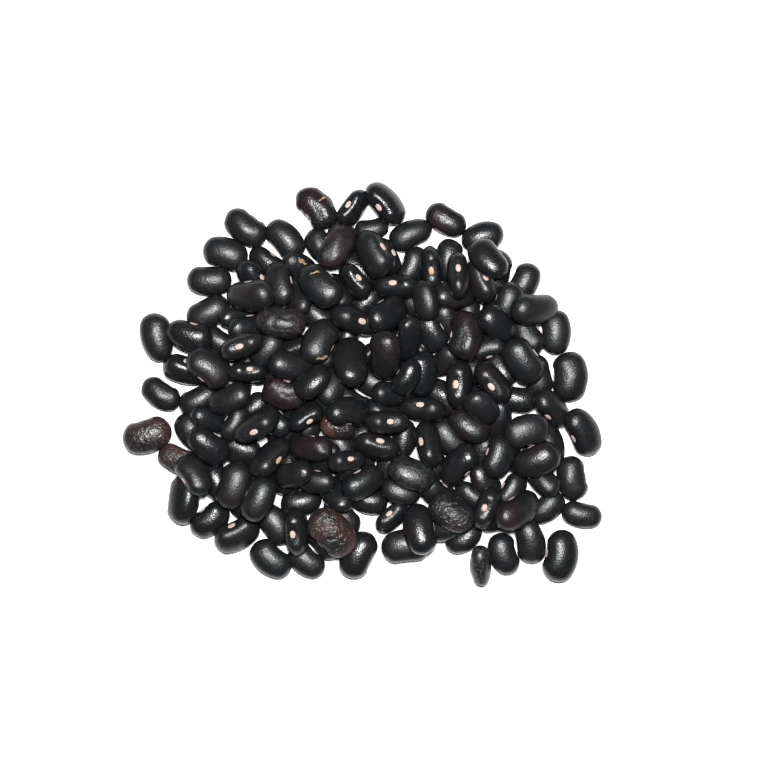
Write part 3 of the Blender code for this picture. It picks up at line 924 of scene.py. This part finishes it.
@dataclass(frozen=True)
class SeedCoat:
    """Satin bean skin: a dark ground, a warmer blotch colour, and a soft grainy shine."""

    name: str
    ground: Colour
    warm: Colour
    roughness: float
    grain: float
    pucker: float
    blotch_scale: float = 160.0
    ripple: float = 0.0
    blotch: float = 0.45
    blotch_span: Span = (0.38, 0.66)
    speck: Colour = (0.090, 0.084, 0.072, 1.0)
    speck_scale: float = 1500.0
    speck_span: Span = (0.48, 0.85)
    shine: float = 0.37
    duller: float = 0.06
    glossier: float = 0.08
    patch_scale: float = 900.0
    patch_span: Span = (0.3, 0.7)
    patches: Span = (-0.05, 0.06)
    pucker_scale: float = 420.0
    pucker_depth: float = 0.00035
    grain_scale: float = 2300.0
    grain_depth: float = 0.00010
    ripple_scale: float = 1150.0
    ripple_depth: float = 0.00030

    def material(self) -> bpy.types.Material:
        """Build the skin's node material.

        Returns:
            The material, which reads Object coordinates and the beans' tint attribute.
        """
        board = NodeBoard(bpy.data.materials.new(self.name))
        warmth, speckle, _, gloss = board.tints
        board.shader.inputs["Specular IOR Level"].default_value = self.shine
        blotch = board.stretch(board.noise(self.blotch_scale), *self.blotch_span,
                               -self.blotch, self.blotch)
        warmed = board.stretch(board.work("ADD", blotch, warmth), 0.0, 1.0, 0.0, 1.0)
        colour = board.mix(warmed, self.ground, self.warm)
        specks = board.stretch(board.noise(self.speck_scale, 2.0), *self.speck_span, 0.0, 1.0)
        colour = board.mix(board.work("MULTIPLY", specks, speckle), colour, self.speck)
        board.links.new(colour, board.shader.inputs["Base Color"])
        base = board.stretch(gloss, 0.0, 1.0, self.roughness + self.duller,
                             self.roughness - self.glossier)
        patches = board.stretch(board.noise(self.patch_scale, 4.0), *self.patch_span,
                                *self.patches)
        board.links.new(board.work("ADD", base, patches), board.shader.inputs["Roughness"])
        layers = [(board.noise(self.pucker_scale), self.pucker_depth, self.pucker),
                  (board.noise(self.grain_scale), self.grain_depth, self.grain)]
        if self.ripple:
            layers.append((board.noise(self.ripple_scale, 1.0, 0.8), self.ripple_depth,
                           self.ripple))
        board.bumps(*layers)
        return board.material


@dataclass(frozen=True)
class DryPatch:
    """A matt pale place without a seed coat, more ochre on some beans than on others."""

    name: str
    pale: Colour
    ochre: Colour
    roughness: float
    grain_scale: float
    grain_span: Span
    darkest: float
    relief: float = 0.0
    relief_depth: float = 0.00006

    def material(self) -> bpy.types.Material:
        """Build the patch's node material.

        Returns:
            The material, which reads Object coordinates and the beans' tint attribute.
        """
        board = NodeBoard(bpy.data.materials.new(self.name))
        board.shader.inputs["Roughness"].default_value = self.roughness
        grain = board.noise(self.grain_scale)
        colour = board.mix(board.tints[2], self.pale, self.ochre)
        shade = board.stretch(grain, *self.grain_span, self.darkest, 1.0)
        board.links.new(board.mix(1.0, colour, shade, "MULTIPLY"),
                        board.shader.inputs["Base Color"])
        if self.relief:
            board.bumps((grain, self.relief_depth, self.relief))
        return board.material


COATS: dict[Skin, SeedCoat] = {
    Skin.BLACK: SeedCoat(
        "coat_black", ground=(0.0052, 0.0060, 0.0068, 1.0), warm=(0.0096, 0.0071, 0.0078, 1.0),
        roughness=0.31, grain=0.8, pucker=0.15),
    Skin.PURPLE: SeedCoat(
        "coat_purple", ground=(0.0048, 0.0052, 0.0058, 1.0), warm=(0.0155, 0.0076, 0.0092, 1.0),
        roughness=0.34, grain=0.9, pucker=0.35, blotch_scale=130.0),
    Skin.BROWN: SeedCoat(
        "coat_brown", ground=(0.0088, 0.0078, 0.0078, 1.0), warm=(0.0560, 0.0250, 0.0220, 1.0),
        roughness=0.38, grain=0.6, pucker=0.25, blotch_scale=90.0, blotch=0.7, ripple=0.8),
}
EYE_SCAR = DryPatch(
    "eye_scar", pale=(0.48, 0.385, 0.35, 1.0), ochre=(0.40, 0.27, 0.14, 1.0), roughness=0.75,
    grain_scale=1800.0, grain_span=(0.3, 0.7), darkest=0.72, relief=0.6)
TORN_COAT = DryPatch(
    "torn_coat", pale=(0.34, 0.19, 0.13, 1.0), ochre=(0.29, 0.23, 0.11, 1.0), roughness=0.8,
    grain_scale=1500.0, grain_span=(0.35, 0.65), darkest=0.45)


@dataclass
class TearMaker:
    """Makes a ragged strip for every tear and lays it on the beans below."""

    skins: dict[Skin, bpy.types.Object]
    middle: Span
    drop_height: float = 0.03
    segments: int = 32
    rings: int = 12
    ragged: float = 0.0014
    ragged_size: float = 0.0010
    lift: float = 0.00003
    thickness: float = 0.00008

    def build(self) -> bpy.types.Object:
        """Lay all tears on their beans.

        Returns:
            The joined tears.
        """
        whole = join_pieces([self.strip(tear) for tear in TEARS], "torn_coats")
        whole.data.materials.append(TORN_COAT.material())
        return whole

    def strip(self, tear: Tear) -> bpy.types.Object:
        """Make one tear.

        Args:
            tear: where it is and how large.

        Returns:
            A thin closed strip that follows the bean's skin.
        """
        place = ((tear.x - self.middle[0]) * MM, (tear.y - self.middle[1]) * MM,
                 self.drop_height)
        bpy.ops.mesh.primitive_uv_sphere_add(segments=self.segments, ring_count=self.rings,
                                             radius=0.5)
        strip = bpy.context.object
        bpy.ops.object.mode_set(mode="EDIT")
        bpy.ops.mesh.select_all(action="SELECT")
        bpy.ops.mesh.bisect(plane_co=(0, 0, 0.001), plane_no=(0, 0, 1), clear_inner=True)
        bpy.ops.object.mode_set(mode="OBJECT")
        strip.scale = (tear.length * MM, tear.width * MM, 0.0)
        strip.rotation_euler = (0, 0, math.radians(tear.heading))
        strip.location = place
        bpy.ops.object.transform_apply(location=True, rotation=True, scale=True)
        pattern = bpy.data.textures.new("ragged_edge", "CLOUDS")
        pattern.noise_scale = self.ragged_size
        for way in ("X", "Y"):
            ragged = strip.modifiers.new("ragged", "DISPLACE")
            ragged.texture = pattern
            ragged.direction = way
            ragged.strength = self.ragged
        fall = strip.modifiers.new("fall", "SHRINKWRAP")
        fall.target = self.skins[tear.skin]
        fall.wrap_method = "PROJECT"
        fall.use_project_z = True
        fall.use_negative_direction = True
        fall.use_positive_direction = False
        fall.offset = self.lift
        sheet = strip.modifiers.new("thickness", "SOLIDIFY")
        sheet.thickness = self.thickness
        sheet.offset = 0.0
        for modifier in [item.name for item in strip.modifiers]:
            bpy.ops.object.modifier_apply(modifier=modifier)
        heights = [vert.co.z for vert in strip.data.vertices]
        log.info("tear at %.1f, %.1f lies at %.1f to %.1f mm", tear.x, tear.y,
                 min(heights) / MM, max(heights) / MM)
        layer = strip.data.color_attributes.new("bean_tint", "FLOAT_COLOR", "POINT")
        layer.data.foreach_set("color", [0.0, 0.0, tear.ochre, 0.0] * len(heights))
        return strip


@dataclass
class BlackBeans:
    """All beans of the heap as separate bodies, joined into one piece for each kind."""

    pile: BeanPile = field(default_factory=BeanPile)
    seed: int = 21
    reverse_share: float = 0.5
    black_warmth: Span = (0.0, 0.45)
    purple_warmth: Span = (0.1, 0.5)
    speckles: Span = (0.0, 0.06)
    ochre_share: float = 0.10
    ochre_eyes: Span = (0.6, 1.0)
    pale_eyes: Span = (0.0, 0.2)

    def build(self) -> list[bpy.types.Object]:
        """Lay all beans, join them by skin, give them their coats and add the tears.

        Returns:
            The skins' pieces, the eyes' piece and the tears.
        """
        groups = self.lay()
        finishes = {skin.value: coat for skin, coat in COATS.items()} | {"bean_eyes": EYE_SCAR}
        pieces = {}
        for name, members in groups.items():
            pieces[name] = join_pieces(members, name)
            pieces[name].data.materials.clear()
            pieces[name].data.materials.append(finishes[name].material())
        skins = {skin: pieces[skin.value] for skin in Skin}
        pieces["torn_coats"] = TearMaker(skins, self.pile.middle).build()
        for name, piece in pieces.items():
            piece.data.polygons.foreach_set("use_smooth", [True] * len(piece.data.polygons))
            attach(piece, "root")
            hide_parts("bean_heap")
            triangles = sum(len(face.vertices) - 2 for face in piece.data.polygons)
            log.info("%s: %d bodies, %d triangles", name, len(groups.get(name, TEARS)), triangles)
        return list(pieces.values())

    def lay(self) -> dict[str, list[bpy.types.Object]]:
        """Copy a mould and its eye for every bean of the pile.

        Returns:
            The copies under the name of the piece that they are joined to.
        """
        moulds = {form: BeanMould(form).model() for form in Form}
        chance = random.Random(self.seed)
        groups: dict[str, list[bpy.types.Object]] = {}
        for number, bean in enumerate(self.pile.heap_up()):
            skin = bean.spot.skin
            form = chance.choice(FORMS_OF_SKIN[skin])
            form = bean.spot.form or form
            tint = self.tint(bean.spot, chance)
            place = self.placing(bean, chance.random() < self.reverse_share)
            lowest = min((place @ vert.co).z for vert in moulds[form][0].vertices)
            place = Matrix.Translation((0, 0, max(0.0, -lowest))) @ place
            for name, mesh in zip((skin.value, "bean_eyes"), moulds[form]):
                copy = mesh.copy()
                copy.transform(place)
                layer = copy.color_attributes.new("bean_tint", "FLOAT_COLOR", "POINT")
                layer.data.foreach_set("color", tint * len(copy.vertices))
                piece = bpy.data.objects.new(f"{name}_{number:03d}", copy)
                bpy.context.scene.collection.objects.link(piece)
                groups.setdefault(name, []).append(piece)
        return groups

    @staticmethod
    def placing(bean: Bean, reverse: bool) -> Matrix:
        """Give the matrix that takes a mould to a bean's place.

        Args:
            bean: the bean at rest, in millimetres.
            reverse: if the mould's ends change places.

        Returns:
            The matrix, in metres.
        """
        sign = -1.0 if reverse else 1.0
        length, eye, face = (Vector(axis) * size * MM for axis, size in zip(bean.axes, bean.half))
        turn = Matrix((length * sign, eye, face * sign)).transposed().to_4x4()
        return Matrix.Translation(Vector(bean.centre) * MM) @ turn

    def tint(self, spot: Spot, chance: random.Random) -> list[float]:
        """Draw a bean's own colour, where its spot doesn't give it.

        Args:
            spot: where it lies and what is special about it.
            chance: the seeded draw.

        Returns:
            How warm it is, how speckled, how ochre its eye is, and how glossy it is.
        """
        black = spot.skin is Skin.BLACK
        warmth = chance.uniform(*(self.black_warmth if black else self.purple_warmth))
        speckle = chance.uniform(*self.speckles)
        ochre_eye = chance.random() < self.ochre_share
        ochre = chance.uniform(*(self.ochre_eyes if ochre_eye else self.pale_eyes))
        gloss = chance.random() ** 2
        if spot.warmth is not None:
            warmth = spot.warmth
        if spot.speckle is not None:
            speckle = spot.speckle
        return [warmth, speckle, ochre, gloss]


@dataclass
class Studio:
    """White table, a soft lamp close to the camera, and the camera looking straight down."""

    table_size: float = 1.6
    table_white: Colour = (0.92, 0.92, 0.92, 1.0)
    table_roughness: float = 0.9
    table_shine: float = 0.1
    camera_height: float = 0.45
    picture_width: float = 0.1872
    aim_height: float = 0.005
    film_width: float = 36.0
    centre: Span = (0.0066, -0.0014)
    lamp_place: Triple = (0.012, 0.055, 0.46)
    lamp_size: float = 0.07
    lamp_power: float = 4.8
    sky: Colour = (0.075, 0.075, 0.0765, 1.0)

    def table(self) -> bpy.types.Object:
        """Make the white table top.

        Returns:
            The table top.
        """
        bpy.ops.mesh.primitive_plane_add(size=self.table_size, location=(0, 0, 0))
        top = bpy.context.object
        top.name = "white_table"
        material = bpy.data.materials.new("white_table")
        material.use_nodes = True
        shader = material.node_tree.nodes["Principled BSDF"]
        shader.inputs["Base Color"].default_value = self.table_white
        shader.inputs["Roughness"].default_value = self.table_roughness
        shader.inputs["Specular IOR Level"].default_value = self.table_shine
        top.data.materials.append(material)
        return top

    def lamp(self) -> bpy.types.Object:
        """Hang the soft lamp beside the camera, aimed at the heap.

        Returns:
            The lamp.
        """
        light = bpy.data.lights.new("soft_lamp", "AREA")
        light.shape = "DISK"
        light.size = self.lamp_size
        light.energy = self.lamp_power
        lamp = bpy.data.objects.new("soft_lamp", light)
        lamp.location = self.lamp_place
        lamp.rotation_euler = (-Vector(self.lamp_place)).to_track_quat("-Z", "Y").to_euler()
        bpy.context.scene.collection.objects.link(lamp)
        return lamp

    def surroundings(self) -> None:
        """Give the room a dim even light."""
        world = bpy.data.worlds.new("dim_room")
        world.use_nodes = True
        world.node_tree.nodes["Background"].inputs["Color"].default_value = self.sky
        bpy.context.scene.world = world
        bpy.context.scene.view_settings.view_transform = "Standard"

    def camera(self) -> bpy.types.Object:
        """Set the camera above the table, looking straight down.

        Returns:
            The camera.
        """
        data = bpy.data.cameras.new("camera")
        data.sensor_width = self.film_width
        data.lens = self.film_width * (self.camera_height - self.aim_height) / self.picture_width
        camera = bpy.data.objects.new("camera", data)
        camera.location = (*self.centre, self.camera_height)
        bpy.context.scene.collection.objects.link(camera)
        bpy.context.scene.camera = camera
        return camera


def main() -> None:
    """Build the studio and the beans, and report each piece."""
    logging.basicConfig(level=logging.INFO, format="%(name)s: %(message)s")
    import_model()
    studio = Studio()
    studio.table()
    studio.lamp()
    studio.surroundings()
    studio.camera()
    pieces = BlackBeans().build()
    log.info("%d pieces", len(pieces))


if __name__ == "__main__":
    main()
